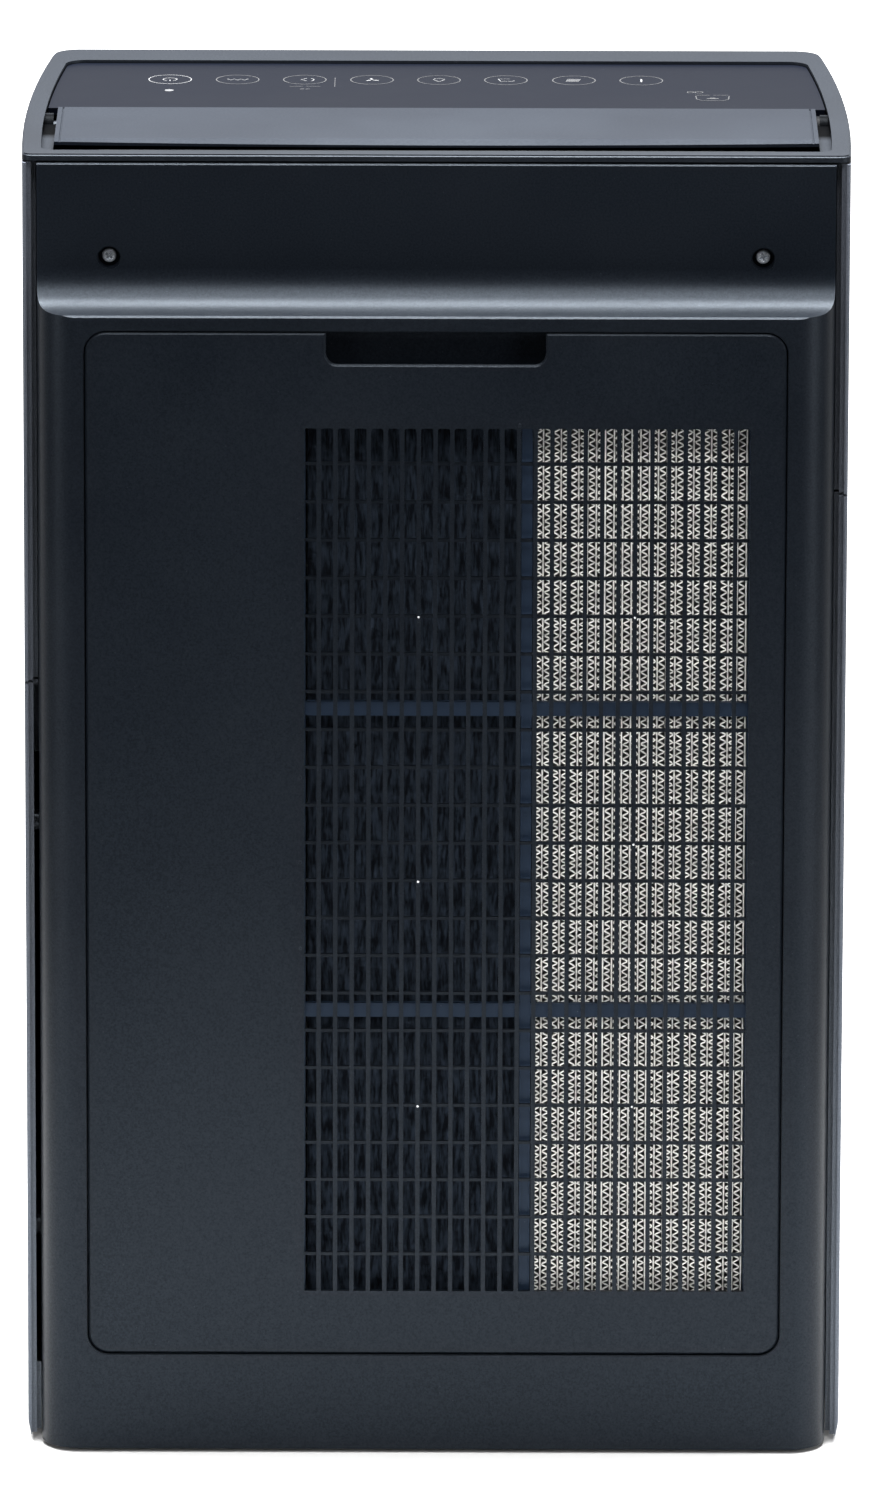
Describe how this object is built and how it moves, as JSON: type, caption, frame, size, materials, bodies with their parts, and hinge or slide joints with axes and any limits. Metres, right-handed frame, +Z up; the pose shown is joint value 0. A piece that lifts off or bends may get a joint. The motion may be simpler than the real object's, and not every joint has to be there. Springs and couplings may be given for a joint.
{
  "type": "air purifier",
  "caption": "Floor-standing humidifying air purifier seen from behind: graphite casing, grille panel over its filters, touch panel and motorised louver on top, pull-out water tank.",
  "frame": {"origin": "on the floor, in the middle of the plan's bounding box", "axes": "+Z up, +Y towards the rear with the intake grille, +X towards the water tank"},
  "size_m": [0.396, 0.265, 0.639],
  "materials": {
    "casing_plastic": "fine moulded texture, graphite",
    "cap_plastic": "fine moulded texture, graphite",
    "flap_plastic": "fine moulded texture, graphite",
    "control_plastic": "satin film, graphite, with pale printed rings",
    "base_plastic": "moulded, dark grey",
    "filter_frame_plastic": "moulded, blue grey",
    "carbon_media": "fuzzy, near black",
    "honeycomb_paper": "corrugated paper, warm white",
    "fine_filter_rim": "moulded, white",
    "fine_filter_paper": "pleated, white",
    "rubber": "black",
    "screw_steel": "bright zinc",
    "lens_plastic": "milky",
    "board_laminate": "green lacquer",
    "duct_plastic": "moulded, dark grey",
    "impeller_plastic": "moulded, mid grey",
    "motor_metal": "zinc plated",
    "wheel_plastic": "moulded, pale grey",
    "wick_fabric": "woven, white",
    "tank_plastic": "clear, tinted",
    "tank_cap_plastic": "moulded, blue grey"
  },
  "bodies": {
    "housing": {"rear_casing": "casing_plastic", "base_plate": "base_plastic", "rubber_feet": "rubber", "base_screws": "screw_steel", "cord_gland": "rubber", "front_panel": "casing_plastic", "side_panel_right": "casing_plastic", "side_panel_left": "casing_plastic", "sensor_cover": "casing_plastic", "deodoriser_frame": "filter_frame_plastic", "carbon_pack": "carbon_media", "honeycomb_block": "honeycomb_paper", "hepa_frame": "fine_filter_rim", "hepa_pleats": "fine_filter_paper", "top_cover": "cap_plastic", "rear_screws": "screw_steel", "control_panel": "control_plastic", "status_lens": "lens_plastic", "control_board": "board_laminate", "louver_motor": "motor_metal", "outlet_duct": "duct_plastic", "outlet_guard": "duct_plastic", "fan_scroll": "duct_plastic", "partition": "duct_plastic", "inlet_guard": "duct_plastic", "fan_motor": "motor_metal", "motor_bracket": "motor_metal", "motor_screws": "screw_steel", "humidifier_tray": "duct_plastic", "wheel_axle": "screw_steel", "gear_motor": "motor_metal", "power_board": "board_laminate", "ion_unit": "wheel_plastic", "dust_sensor": "wheel_plastic"},
    "louver": {"louver_flap": "flap_plastic", "louver_shaft": "screw_steel"},
    "fan": {"fan_impeller": "impeller_plastic", "motor_shaft": "screw_steel", "hub_nut": "screw_steel"},
    "rear_panel": {"back_panel": "casing_plastic"},
    "tank": {"water_tank": "tank_plastic", "tank_lid": "tank_plastic", "tank_handle": "tank_plastic", "tank_cap": "tank_cap_plastic", "tank_seal": "rubber", "tank_cover": "casing_plastic"},
    "wheel": {"humidifier_wheel": "wheel_plastic", "wheel_media": "wick_fabric"},
    "pinion": {"drive_pinion": "wheel_plastic"}
  },
  "joints": [
    {"name": "louver_hinge", "type": "hinge", "parent": "housing", "child": "louver", "pos_m": [0, 0.0136, 0.6307], "axis": [1, 0, 0], "range_deg": [0, 70]},
    {"name": "fan_spin", "type": "hinge", "parent": "housing", "child": "fan", "pos_m": [-0.02168, -0.078, 0.3], "axis": [0, 1, 0], "continuous": true},
    {"name": "back_panel_tilt", "type": "hinge", "parent": "housing", "child": "rear_panel", "pos_m": [0, 0.1313, 0.0514], "axis": [-1, 0, 0], "range_deg": [0, 35]},
    {"name": "tank_slide", "type": "slide", "parent": "housing", "child": "tank", "axis": [1, 0, 0], "range_m": [0, 0.12]},
    {"name": "wheel_spin", "type": "hinge", "parent": "housing", "child": "wheel", "pos_m": [-0.06, 0.022, 0.1096], "axis": [0, 1, 0], "continuous": true},
    {"name": "pinion_spin", "type": "hinge", "parent": "housing", "child": "pinion", "pos_m": [0.049, 0.024, 0.14927], "axis": [0, 1, 0], "continuous": true}
  ],
  "couplings": [
    {"joint": "pinion_spin", "follows": "wheel_spin", "ratio": -3.8333}
  ]
}
